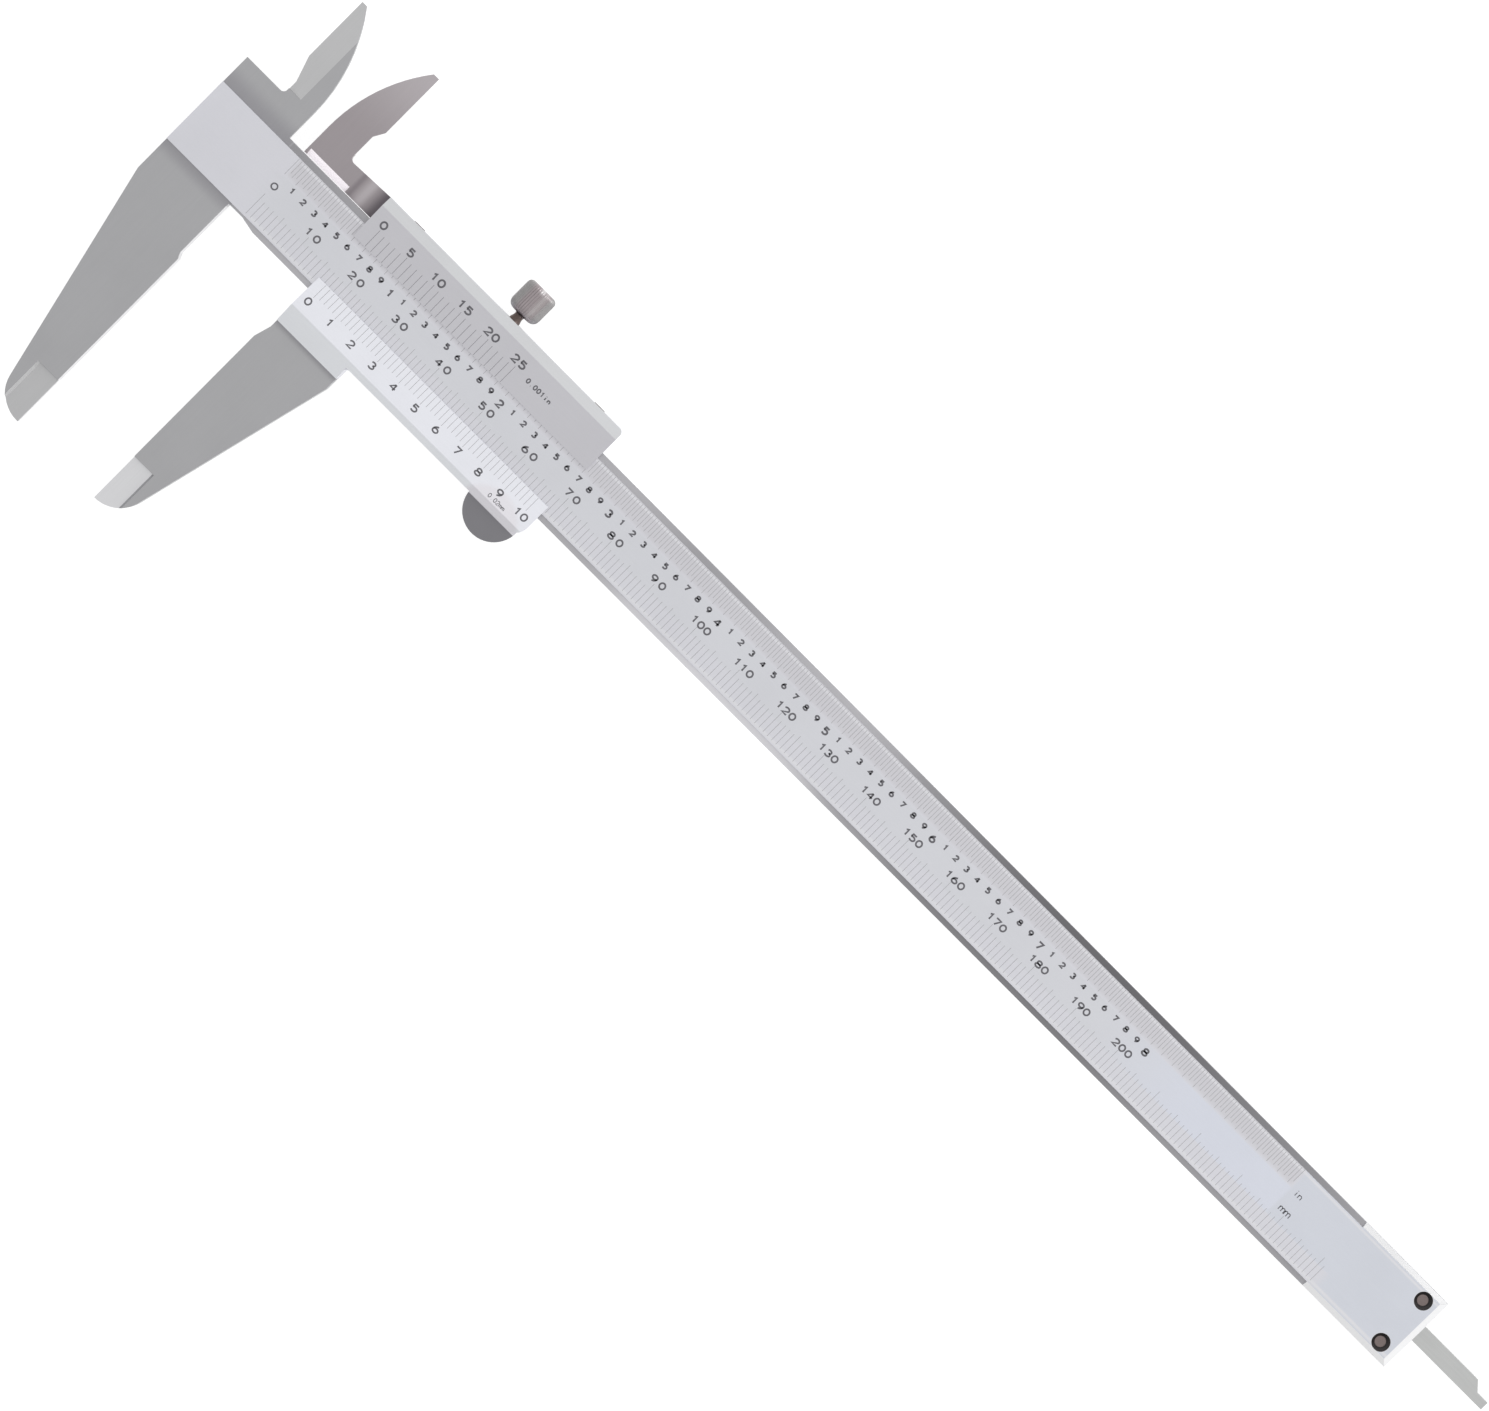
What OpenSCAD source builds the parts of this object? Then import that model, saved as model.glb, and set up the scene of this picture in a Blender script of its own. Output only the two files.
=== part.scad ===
// Vernier caliper, 200 mm / 8 in, with knife-edge inside jaws and a depth bar.
// X runs along the beam towards the depth bar, Y towards the inside jaws, Z out of the graduated face.
// The origin is on the fixed outside jaw's measuring face, half way through the beam's thickness.

/* [Setting] */
// Distance between the measuring faces as drawn, which is also the reading
opening = 17.5; // [14:0.5:24]

/* [Beam] */
// Length of the beam, head included
beam_len = 288.4; // [284:0.2:292]
// Width of the beam
beam_w = 15.2; // [15:0.1:15.6]
// Thickness of the beam
beam_t = 3.5; // [3.4:0.1:3.6]
// Distance from the measuring face to the head's far side
head_w = 15; // [14.8:0.1:15.4]
// Depth of the step along both edges of the graduated face
step_d = 0.4; // [0.3:0.05:0.45]
// Width of the step along both edges
step_w = 1; // [0.9:0.1:1.2]
// Length of the bevelled tail
tail_len = 20; // [17:1:21]

/* [Outside jaws] */
// Reach of the outside jaws from the beam's lower edge
outside_reach = 49.3; // [46:0.1:52]
// Depth of the relief behind the measuring faces
relief_d = 0.5; // [0.3:0.1:0.7]
// Radius of the rounded tips
tip_r = 6; // [5:0.5:6.5]
// Length of the thinned tips
tip_len = 9.6; // [8:0.2:11]
// Width of the thinned tips
tip_w = 4.1; // [3.5:0.1:4.5]
// How far each face of a tip is ground down
tip_d = 0.8; // [0.6:0.05:0.9]

/* [Inside jaws] */
// Reach of the inside jaws from the beam's upper edge
inside_reach = 24.1; // [22:0.1:26]
// Radius of the curved backs of the inside jaws
blade_r = 30; // [28:0.5:32]
// Width of the ground knife edges
edge_w = 4.2; // [3.8:0.1:4.4]
// Height of the root blocks above the beam
root_h = 4.5; // [4.3:0.1:4.7]

/* [Slider] */
// Length of the sliding frame
slider_len = 53.8; // [53:0.1:54.5]
// Thickness of the frame in front of the beam
front_h = 1.65; // [1.5:0.05:1.8]
// Thickness of the wall behind the beam
wall_t = 1.2; // [1.1:0.1:1.3]
// Thickness of the back plate
plate_t = 0.8; // [0.7:0.1:0.9]
// Radius of the thumb rest
thumb_r = 5.2; // [5:0.1:5.4]

/* [Depth bar] */
// Width of the depth bar
bar_w = 3.3; // [3:0.1:3.4]
// Thickness of the depth bar
bar_t = 1.5; // [1.4:0.1:1.6]

/* [Clamp screw] */
// Radius of the knurled head
knob_r = 3; // [2.7:0.1:3.2]
// Height of the knurled head
knob_h = 5.7; // [5:0.1:6.5]
// Nominal radius of the thread
thread_r = 1.5; // [1.4:0.1:1.5]

/* [Hidden] */
$fn = 72;
eps = 0.01;
fit = 0.05;                                    // running clearance between the slider and the beam

beam_y = 30.3;                                 // lower edge of the beam
beam_top = beam_y + beam_w;
beam_z = beam_t / 2;
step_z = beam_z - step_d;
head_x = -head_w;
tail_x = beam_len - head_w;
tip_y = beam_y - outside_reach;
blade_y = beam_top + inside_reach;
root_y = beam_top + root_h;

// Outside jaws: where the tapers start, how far they lean in and where the relief ends
relief_y = 18.6;
fixed_taper_y = 24.6;
fixed_taper = 0.229;
moving_taper_y = 20.7;
moving_taper = 0.2425;
moving_w = 14.4;

// Inside jaws: the two blades pass each other at the split
split_z = 0.1;
arm_z = -0.35;
fixed_edge_x = -8.2;                           // measuring edge of the fixed blade
moving_edge_x = fixed_edge_x + opening;
fixed_back_x = -1;
moving_back_x = opening - 15.5;
neck_y = blade_y - 12.4;                       // the blades are narrower below their knife edges
arc_y = beam_top + 5.9;                        // where the curved backs start
edge_y = beam_top + 5.7;                       // where the knife edges start
edge_d = 1;

// Depth bar and its groove
bar_y = beam_y + 8.1;
bar_gap = 0.1;
bar_top_z = fit - beam_z + bar_t;
bar_x = opening + 22.5;
rivet_r = 0.7;
rivet_x = [bar_x + 2.5, bar_x + 8.5];
groove_x = 18;

// Slider frame, across the beam
frame_y = beam_y - 4.7;
frame_top = root_y + 0.45;
inner_y = beam_y - fit;
gib_gap = 1;
inner_top = beam_top + gib_gap;
lip_z = beam_z + fit;
lip_edge_z = lip_z + 0.35;
lip_y = beam_y + 2.6;                          // edge of the metric vernier
lip_top = beam_y + 11.4;                       // edge of the inch vernier
face_z = beam_z + front_h;
face_y = beam_y - 3.5;
face_top = frame_top - 1.85;
chamfer_slope = 1 / 3;
wall_z = -beam_z - fit;
frame_z = wall_z - wall_t;
rest_z = frame_z - plate_t;
frame_x = opening;
frame_end = frame_x + slider_len;
lower_x = frame_x + 0.85;
root_plate_y = beam_y - 7.2;
thumb_x = frame_end - 5.9;
thumb_y = beam_y - 4.2;
thumb_z = beam_z + 0.1;

// Gib, its screws and the clamp
gib_t = gib_gap - 2 * fit;
gib_len = slider_len - 4;
gib_x = frame_x + 2;
gib_z = beam_z - 0.15;
gib_screw_x = [frame_x + 6.4, frame_end - 5.7];
gib_screw_r = 1.25;
dimple_r = 0.75;
dimple_d = 0.3;
clamp_x = frame_x + 28.2;
pad_gap = 0.4;
pad_h = 0.85;
pad_y = beam_top + fit + gib_t + pad_gap;
knob_y = frame_top + 1.45;
neck_r = 0.92;
knob_round = 1.3;

// Back plate, stop plate and their screws
plate_x = frame_x + 4.5;
plate_len = slider_len - 9;
plate_y = beam_y - 4.4;
plate_w = frame_top - 0.3 - plate_y;
plate_screw_x = [plate_x + 2.7, plate_x + plate_len - 2.7];
plate_screw_y = [beam_y - 2.2, beam_top + 2.5];
stop_len = 12;
stop_w = beam_w - 1;
stop_screw_x = tail_x - 3.6;
stop_screw_dy = 5;
screw_r = 1;
screw_head_r = 1.9;
screw_end_z = beam_z - 0.6;
plate_screw_end_z = -1.6;
slot_w = 0.5;
slot_d = 0.4;

// ---------- helpers ----------

// Extrudes a flat shape in X and Y between two heights
module slab(z0, z1) {
    translate([0, 0, z0])
        linear_extrude(z1 - z0)
            children();
}

// Extrudes an outline of [y, z] points along X
module along_x(x0, x1, points) {
    translate([x0, 0, 0])
        rotate([90, 0, 90])
            linear_extrude(x1 - x0)
                polygon(points);
}

// Extrudes an outline of [x, z] points along Y
module along_y(y0, y1, points) {
    translate([0, y1, 0])
        rotate([90, 0, 0])
            linear_extrude(y1 - y0)
                polygon(points);
}

// A box between two opposite corners
module block(a, b) {
    translate(a)
        cube(b - a);
}

// A cylinder along Y, with its axis on the beam's middle plane
module peg_y(x, y0, y1, r0, r1) {
    translate([x, y0, 0])
        rotate([-90, 0, 0])
            cylinder(h = y1 - y0, r1 = r0, r2 = r1);
}

function unit(v) = v / norm(v);

// The sliver between a corner at p, whose sides run towards q and s, and an arc of radius r
module corner(p, q, s, r) {
    u = unit(q - p);
    v = unit(s - p);
    half = acos(u * v) / 2;
    reach = r / tan(half);
    centre = p + unit(u + v) * r / sin(half);
    difference() {
        polygon([p - unit(u + v) * eps, p + u * reach, centre, p + v * reach]);
        translate(centre)
            circle(r = r);
    }
}

// The space of a countersunk screw let into a face that looks along -Z, grown by gap
module sunk(x, y, z0, z1, gap) {
    cone_h = screw_head_r - screw_r;
    translate([x, y, z0]) {
        cylinder(h = cone_h, r1 = screw_head_r + gap, r2 = screw_r + gap);
        cylinder(h = z1 - z0, r = screw_r + gap);
    }
}

// A countersunk screw with a slot
module sunk_screw(x, y, z0, z1) {
    difference() {
        sunk(x, y, z0, z1, 0);
        translate([x, y, z0])
            rotate([0, 0, 30])
                cube([3 * screw_head_r, slot_w, 2 * slot_d], center = true);
    }
}

// ---------- beam ----------

// Outline of an outside jaw from its measuring face at x = 0. It extends along -X. The taper starts
// at taper_y, at the distance w from the face
module outside_outline(w, taper_y, taper, relief, relief_top, root_y) {
    heel = [-w, taper_y];
    toe = [-w + (taper_y - tip_y) * taper, tip_y];
    difference() {
        polygon([
            [0, tip_y], toe, heel, [-w, root_y],
            [-relief, root_y], [-relief, relief_top], [0, relief_y]
        ]);
        corner(toe, heel, [0, tip_y], tip_r);
    }
}

// The steps that thin both faces of an outside jaw's tip, from a measuring face at x = 0
module tip_steps() {
    ramp = 0.4;
    for (side = [1, -1]) {
        jaw_z = side > 0 ? step_z : beam_z;
        along_y(tip_y - 1, tip_y + tip_len, [
            [1, side * (jaw_z - tip_d)],
            [-tip_w, side * (jaw_z - tip_d)],
            [-tip_w - ramp, side * (jaw_z + eps)],
            [1, side * (jaw_z + eps)]
        ]);
    }
}

// Outline of an inside jaw: the measuring edge is at x = edge and the curved back starts at x = back.
// Over the height neck_h the edge side falls back by neck_d
module inside_outline(edge, back, bottom, root, neck_d, neck_h) {
    s = sign(edge - back);
    knee = edge - s * neck_d;
    arm_end = root[0];
    intersection() {
        union() {
            polygon([
                [back, bottom], [back, blade_y], [edge, blade_y], [edge, neck_y],
                [knee, neck_y - neck_h], [knee, root_y], [arm_end, root[1]], [arm_end, bottom]
            ]);
            corner([knee, root_y], [knee, blade_y], root, 0.8);
        }
        union() {
            translate([back + s * blade_r, arc_y])
                circle(r = blade_r, $fn = 180);
            block2([min(back, arm_end), bottom - 1], [max(back, arm_end), arc_y]);
        }
    }
}

// A rectangle between two opposite corners
module block2(a, b) {
    translate(a)
        square(b - a);
}

module main_beam() {
    color([0.81, 0.81, 0.83])
        difference() {
            union() {
                block([head_x, beam_y, -beam_z], [tail_x, beam_top, beam_z]);
                slab(-beam_z, step_z)
                    outside_outline(head_w, fixed_taper_y, fixed_taper, relief_d, relief_y + 1.1,
                                    beam_y + 2);
                slab(split_z, step_z)
                    inside_outline(fixed_edge_x, fixed_back_x, beam_top - 1, [head_x, root_y], 1.5, 4.4);
            }
            edge_steps();
            tail_bevels();
            tip_steps();
            // Knife edge of the fixed inside jaw, ground on its front
            along_y(edge_y, blade_y + 1, [
                [fixed_edge_x - 0.5, step_z - edge_d - 0.5 * edge_d / edge_w],
                [fixed_edge_x + edge_w, step_z],
                [fixed_edge_x + edge_w, step_z + 1],
                [fixed_edge_x - 0.5, step_z + 1]
            ]);
            // Run-out of the grinding wheel beside the outside jaw
            slab(-beam_z - 1, beam_z + 1)
                polygon([
                    [-relief_d, beam_y - 1], [-relief_d, beam_y + 0.6], [2.6, beam_y + 0.6],
                    [5.6, beam_y - eps], [5.6, beam_y - 1]
                ]);
            // Groove of the depth bar
            block([groove_x, bar_y - bar_w / 2 - bar_gap, -beam_z - 1],
                  [tail_x + 1, bar_y + bar_w / 2 + bar_gap, bar_top_z + fit]);
            for (side = [-1, 1])
                stop_screw_hole(side);
        }
}

// Steps along both edges of the graduated face
module edge_steps() {
    block([head_x - 1, beam_y - 1, step_z], [tail_x - tail_len, beam_y + step_w, beam_z + 1]);
    block([head_x - 1, beam_top - step_w - 0.1, step_z], [tail_x - tail_len, beam_top + 1, beam_z + 1]);
}

// Bevels round the tail's graduated face
module tail_bevels() {
    slope = step_d / step_w;
    x0 = tail_x - tail_len - 1;
    low = [[beam_y - 1, step_z - slope], [beam_y + step_w, beam_z], [beam_y - 1, beam_z + 1]];
    high = [for (p = low) [beam_y + beam_top - p[0], p[1]]];
    along_x(x0, tail_x + 1, low);
    along_x(x0, tail_x + 1, high);
    along_y(beam_y - 1, beam_top + 1, [
        [tail_x + 1, step_z - slope], [tail_x - step_w * 1.2, beam_z], [tail_x + 1, beam_z + 1]
    ]);
}

function stop_screw_y(side) = beam_y + beam_w / 2 + side * stop_screw_dy;

// Through hole of a stop screw, countersunk on the graduated face
module stop_screw_hole(side) {
    mouth_r = 1.65;
    translate([stop_screw_x, stop_screw_y(side), 0]) {
        cylinder(h = 3 * beam_t, r = screw_r + 0.02, center = true);
        translate([0, 0, beam_z - mouth_r + screw_r])
            cylinder(h = mouth_r - screw_r + eps, r1 = screw_r, r2 = mouth_r + eps);
    }
}

module stop_plate() {
    y0 = beam_y + (beam_w - stop_w) / 2;
    color([0.66, 0.66, 0.67])
        difference() {
            slab(rest_z, -beam_z)
                difference() {
                    block2([tail_x - stop_len, y0], [tail_x, y0 + stop_w]);
                    for (y = [y0, y0 + stop_w])
                        corner([tail_x, y], [tail_x - 5, y], [tail_x, beam_y + beam_w / 2], 1);
                }
            for (side = [-1, 1])
                sunk(stop_screw_x, stop_screw_y(side), rest_z - eps, 0, 0.03);
        }
}

module stop_screw(side) {
    color([0.45, 0.42, 0.41])
        sunk_screw(stop_screw_x, stop_screw_y(side), rest_z, screw_end_z);
}

// ---------- slider ----------

// Section of the frame across the beam, as [y, z]
frame_section = [
    [frame_y, frame_z],
    [frame_y, face_z - (face_y - frame_y) * chamfer_slope],
    [face_y, face_z],
    [lip_y, lip_edge_z],
    [lip_y, lip_z],
    [inner_y, lip_z],
    [inner_y, wall_z],
    [inner_top, wall_z],
    [inner_top, lip_z],
    [lip_top, lip_z],
    [lip_top, lip_edge_z],
    [face_top, face_z],
    [frame_top, face_z - (frame_top - face_top) * chamfer_slope],
    [frame_top, frame_z]
];

// Section of the plate that carries the moving outside jaw, in the plane of the lower chamfer
root_plate_section = [
    [root_plate_y, frame_z],
    [root_plate_y, face_z - (face_y - root_plate_y) * chamfer_slope],
    [frame_y + 0.1, face_z - (face_y - frame_y - 0.1) * chamfer_slope],
    [frame_y + 0.1, frame_z]
];

// Front view of the frame
module frame_outline() {
    difference() {
        polygon([
            [lower_x, frame_y], [frame_end, frame_y], [frame_end, frame_top],
            [frame_x, frame_top], [frame_x, lip_top - 2], [lower_x, lip_top - 2]
        ]);
        corner([frame_end, frame_top], [frame_end, frame_y], [frame_x, frame_top], 0.9);
        corner([frame_end, frame_y], [frame_end, frame_top], [frame_x, frame_y], 2.4);
    }
}

module slider_frame() {
    color([0.76, 0.76, 0.78])
        difference() {
            union() {
                intersection() {
                    along_x(frame_x, frame_end, frame_section);
                    slab(frame_z, face_z)
                        frame_outline();
                }
                along_x(lower_x, lower_x + moving_w - 0.85, root_plate_section);
                slab(frame_z, face_z - 0.65)
                    corner([frame_x + moving_w, frame_y], [frame_end, frame_y],
                           [frame_x + moving_w, tip_y], 0.8);
                moving_outside_jaw();
                moving_inside_jaw();
                thumb_rest();
            }
            translate([frame_x, 0, 0])
                mirror([1, 0, 0])
                    tip_steps();
            inside_edge_cuts();
            frame_holes();
        }
}

module moving_outside_jaw() {
    slab(-beam_z, step_z)
        translate([frame_x, 0])
            mirror([1, 0])
                outside_outline(moving_w, moving_taper_y, moving_taper, 0.85, relief_y + 3, beam_y - 3);
}

// The arm's upper edge rises to the frame's
module moving_inside_outline() {
    root = [frame_x + 1, frame_top];
    inside_outline(moving_edge_x, moving_back_x, beam_top + 0.15, root, 1.1, 1.9);
}

module moving_inside_jaw() {
    slab(-beam_z, arm_z)
        moving_inside_outline();
    // Concave run-out between the arm and the frame's face
    ramp_x = frame_x - 5.5;
    ramp_r = 43.4;
    difference() {
        slab(arm_z - eps, 0)
            intersection() {
                moving_inside_outline();
                block2([ramp_x, beam_y], [frame_x, frame_top]);
            }
        translate([ramp_x, 0, arm_z + ramp_r])
            rotate([-90, 0, 0])
                cylinder(h = 2 * root_y, r = ramp_r, $fn = 360);
    }
}

// Cuts that shape the moving inside jaw: its knife edge, ground on its back, and its lower ledge
module inside_edge_cuts() {
    along_y(edge_y, blade_y + 1, [
        [moving_edge_x + 0.5, -beam_z + edge_d + 0.5 * edge_d / edge_w],
        [moving_edge_x - edge_w, -beam_z],
        [moving_edge_x - edge_w, -beam_z - 1],
        [moving_edge_x + 0.5, -beam_z - 1]
    ]);
    ledge_y = beam_top + 1.3;
    along_x(moving_back_x + 0.5, frame_x - 6.2, [
        [ledge_y, arm_z + eps], [ledge_y - 1.4, arm_z + eps], [ledge_y - 1.4, arm_z - 1], [ledge_y, arm_z]
    ]);
}

module thumb_rest() {
    slab(-thumb_z, thumb_z)
        intersection() {
            translate([thumb_x, thumb_y])
                circle(r = thumb_r, $fn = 120);
            block2([frame_x, tip_y], [frame_end, inner_y - 2]);
        }
}

module frame_holes() {
    // Set screws of the gib
    for (x = gib_screw_x)
        peg_y(x, inner_top - 1, frame_top + 1, gib_screw_r, gib_screw_r);
    // Clamp screw, with its mouth countersunk
    peg_y(clamp_x, inner_top - 1, frame_top + 1, thread_r, thread_r);
    peg_y(clamp_x, frame_top - 0.6, frame_top + eps, thread_r - eps, thread_r + 0.6);
    // Screws of the back plate
    for (x = plate_screw_x)
        for (y = plate_screw_y)
            sunk(x, y, rest_z, plate_screw_end_z + 0.2, 0.03);
    // Rivets of the depth bar
    for (x = rivet_x)
        translate([x, bar_y, frame_z - 1])
            cylinder(h = wall_t + 2, r = rivet_r + 0.02);
}

module back_plate() {
    x1 = plate_x + plate_len;
    y1 = plate_y + plate_w;
    color([0.7, 0.7, 0.72])
        difference() {
            slab(rest_z, frame_z)
                difference() {
                    block2([plate_x, plate_y], [x1, y1]);
                    for (x = [plate_x, x1])
                        for (y = [plate_y, y1])
                            corner([x, y], [plate_x + x1 - x, y], [x, plate_y + y1 - y], 1.5);
                }
            for (x = plate_screw_x)
                for (y = plate_screw_y)
                    sunk(x, y, rest_z - eps, 0, 0.03);
        }
}

module back_plate_screw(i) {
    color([0.45, 0.42, 0.41])
        sunk_screw(plate_screw_x[i % 2], plate_screw_y[floor(i / 2)], rest_z, plate_screw_end_z);
}

// ---------- depth bar ----------

module depth_bar() {
    y0 = bar_y - bar_w / 2;
    y1 = bar_y + bar_w / 2;
    end_x = tail_x + opening;
    nose = 2.5;                                // length of the narrow nose
    nose_y = y0 + 1.65;
    color([0.7, 0.7, 0.7])
        difference() {
            union() {
                slab(bar_top_z - bar_t, bar_top_z)
                    difference() {
                        block2([bar_x, y0], [end_x, y1]);
                        polygon([
                            [end_x - nose, nose_y], [end_x + 1, nose_y],
                            [end_x + 1, y1 + 1], [end_x - nose - 2.6, y1 + 1]
                        ]);
                    }
                slab(wall_z, bar_top_z - bar_t + eps)
                    block2([bar_x, y0], [bar_x + 11, y1]);
            }
            for (x = rivet_x)
                translate([x, bar_y, wall_z - 1])
                    cylinder(h = bar_t, r = rivet_r + 0.02);
        }
}

module depth_bar_rivet(i) {
    color([0.6, 0.6, 0.6])
        translate([rivet_x[i], bar_y, frame_z])
            cylinder(h = wall_z - 1 + bar_t - frame_z, r = rivet_r);
}

// ---------- gib and clamp ----------

module gib_strip() {
    color([0.72, 0.53, 0.32])
        difference() {
            block([gib_x, beam_top + fit, -gib_z], [gib_x + gib_len, beam_top + fit + gib_t, gib_z]);
            for (x = gib_screw_x)
                peg_y(x, inner_top - fit - dimple_d, inner_top + 1, dimple_r, dimple_r);
        }
}

module gib_screw(i) {
    x = gib_screw_x[i];
    top = frame_top + 0.1;
    color([0.45, 0.43, 0.43])
        difference() {
            union() {
                peg_y(x, inner_top - fit - dimple_d, inner_top + eps, dimple_r - 0.03, dimple_r - 0.03);
                peg_y(x, inner_top, top, gib_screw_r - 0.03, gib_screw_r - 0.03);
            }
            block([x - 2, top - 0.6, -slot_w / 2], [x + 2, top + 1, slot_w / 2]);
        }
}

module clamp_pad() {
    color([0.78, 0.6, 0.3])
        peg_y(clamp_x, pad_y, pad_y + pad_h, thread_r - 0.12, thread_r - 0.12);
}

// The screw is turned about its axis, which runs along Y
module clamp_screw() {
    stem_h = knob_y - pad_y - pad_h;
    thread_h = frame_top - 0.3 - pad_y - pad_h;
    color([0.58, 0.56, 0.56])
        translate([clamp_x, pad_y + pad_h, 0])
            rotate([-90, 0, 0])
                rotate_extrude()
                    difference() {
                        union() {
                            square([thread_r - 0.05, thread_h]);
                            square([neck_r, stem_h + 1]);
                            translate([0, stem_h])
                                square([knob_r, knob_h]);
                        }
                        for (h = [stem_h, stem_h + knob_h])
                            corner([knob_r, h], [knob_r, 2 * stem_h + knob_h - h], [neck_r, h], knob_round);
                    }
}

main_beam();
slider_frame();
back_plate();
back_plate_screw(0);  // back_plate_screw_1
back_plate_screw(1);  // back_plate_screw_2
back_plate_screw(2);  // back_plate_screw_3
back_plate_screw(3);  // back_plate_screw_4
depth_bar();
depth_bar_rivet(0);  // depth_bar_rivet_1
depth_bar_rivet(1);  // depth_bar_rivet_2
gib_strip();
gib_screw(0);  // gib_screw_left
gib_screw(1);  // gib_screw_right
clamp_pad();
clamp_screw();
stop_plate();
stop_screw(1);  // stop_screw_upper
stop_screw(-1);  // stop_screw_lower
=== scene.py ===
"""Looks of a vernier caliper: its scales, knurled clamp screw, finishes, floor, light and camera."""

import math
from collections import namedtuple

import bpy
from mathutils import Matrix, Vector


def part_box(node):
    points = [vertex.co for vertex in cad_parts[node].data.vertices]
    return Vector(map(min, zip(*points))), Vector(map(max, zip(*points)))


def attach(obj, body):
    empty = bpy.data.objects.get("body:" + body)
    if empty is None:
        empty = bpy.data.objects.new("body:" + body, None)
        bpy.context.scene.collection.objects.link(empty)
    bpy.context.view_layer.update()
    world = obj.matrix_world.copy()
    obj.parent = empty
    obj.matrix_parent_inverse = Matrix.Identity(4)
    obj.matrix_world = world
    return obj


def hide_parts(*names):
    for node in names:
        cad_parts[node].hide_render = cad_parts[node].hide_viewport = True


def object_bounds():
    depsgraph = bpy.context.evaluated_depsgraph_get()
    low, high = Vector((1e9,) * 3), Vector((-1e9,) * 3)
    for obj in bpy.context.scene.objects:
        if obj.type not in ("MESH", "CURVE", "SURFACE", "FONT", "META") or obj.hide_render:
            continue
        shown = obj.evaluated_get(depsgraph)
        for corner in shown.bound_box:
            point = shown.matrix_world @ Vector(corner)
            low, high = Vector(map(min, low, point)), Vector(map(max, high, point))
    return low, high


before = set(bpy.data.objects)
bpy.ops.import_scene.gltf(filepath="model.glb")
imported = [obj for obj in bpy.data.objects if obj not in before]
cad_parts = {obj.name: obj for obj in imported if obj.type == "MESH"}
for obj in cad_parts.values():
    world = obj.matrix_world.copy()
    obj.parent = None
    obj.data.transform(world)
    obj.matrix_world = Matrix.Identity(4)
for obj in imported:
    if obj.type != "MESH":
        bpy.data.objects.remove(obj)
cad_low, cad_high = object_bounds()
MM = 0.001

# ---------- places, from the frame, in metres ----------

stop_low, stop_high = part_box("stop_plate")
clamp_low, clamp_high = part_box("clamp_screw")

BEAM_Z = 1.75 * MM                       # graduated face of the beam
STEP = 0.4 * MM                          # how far the jaws and the steps lie below it
STOP_INSET = 0.5 * MM                    # the stop plate is that much inside the beam's edges
BEAM_LOW = stop_low.y - STOP_INSET
BEAM_HIGH = stop_high.y + STOP_INSET
BEAM_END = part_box("main_beam")[1].x
STEP_LOW, STEP_HIGH = 1.0 * MM, 1.1 * MM
GIB_INSET = 2 * MM                       # the gib starts that far behind the moving jaw's face
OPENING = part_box("gib_strip")[0].x - GIB_INSET
SLIDER_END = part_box("slider_frame")[1].x
ZERO = 2.6 * MM                          # zero line of both main scales
INCH_LINES_END = ZERO + 237 * MM
METRIC_LINES_END = ZERO + 251.4 * MM
KNOB_H = 5.7 * MM                        # height of the clamp screw's knurled head
KNOB_X = (clamp_low.x + clamp_high.x) / 2

# ---------- mesh building ----------


def make_object(name, vertices, faces, material, body, smooth=False):
    """A mesh object that rides on a body."""
    mesh = bpy.data.meshes.new(name)
    mesh.from_pydata(vertices, [], faces)
    mesh.validate()
    mesh.materials.append(material)
    mesh.polygons.foreach_set("use_smooth", [smooth] * len(mesh.polygons))
    piece = bpy.data.objects.new(name, mesh)
    bpy.context.scene.collection.objects.link(piece)
    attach(piece, body)
    return piece


def arc(x, y, rx, ry, start, end, steps=9):
    """Points of an elliptic arc, with its angles in degrees."""
    angles = [math.radians(start + (end - start) * i / steps) for i in range(steps + 1)]
    return [(x + rx * math.cos(a), y + ry * math.sin(a)) for a in angles]


def oval(x, y, rx, ry, steps=18):
    """Points of a closed ellipse."""
    return arc(x, y, rx, ry, 90, 450 - 360 / steps, steps - 1)


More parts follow.
